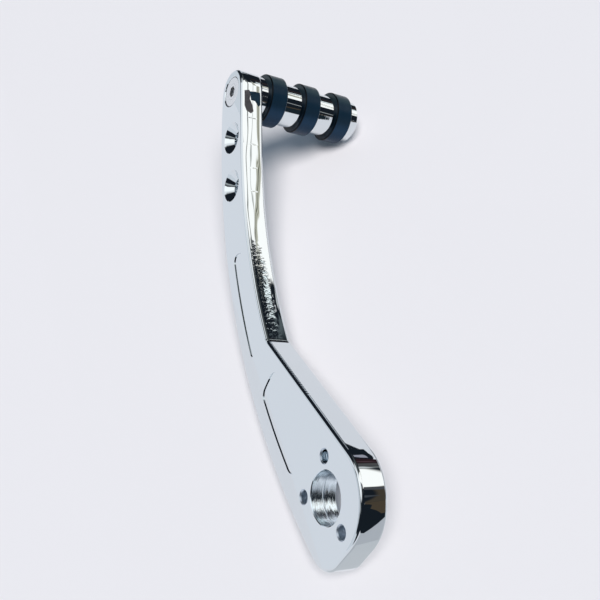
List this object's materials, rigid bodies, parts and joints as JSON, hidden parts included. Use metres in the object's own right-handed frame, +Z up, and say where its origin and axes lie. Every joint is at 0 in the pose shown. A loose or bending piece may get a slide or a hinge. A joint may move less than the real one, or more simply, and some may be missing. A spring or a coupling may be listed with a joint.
{
  "type": "rear brake pedal",
  "caption": "Bent plate foot lever with a pivot boss at one end and a toe peg with rubber grip rings at the other.",
  "frame": {"origin": "on the axis of the pivot bore, at half the plate's thickness", "axes": "+Y along the pivot bore towards the peg side, +Z up along the row of peg holes, +X from that row towards the bore"},
  "size_m": [0.1125, 0.072, 0.237],
  "materials": {
    "plated_arm": "mirror plated",
    "plated_peg": "mirror plated",
    "screw_steel": "satin",
    "grip_rubber": "matt moulded"
  },
  "bodies": {
    "root": {"pedal_arm": "plated_arm", "peg_core": "plated_peg", "peg_screw": "screw_steel", "ring_inner": "grip_rubber", "ring_middle": "grip_rubber", "ring_outer": "grip_rubber"}
  },
  "joints": []
}
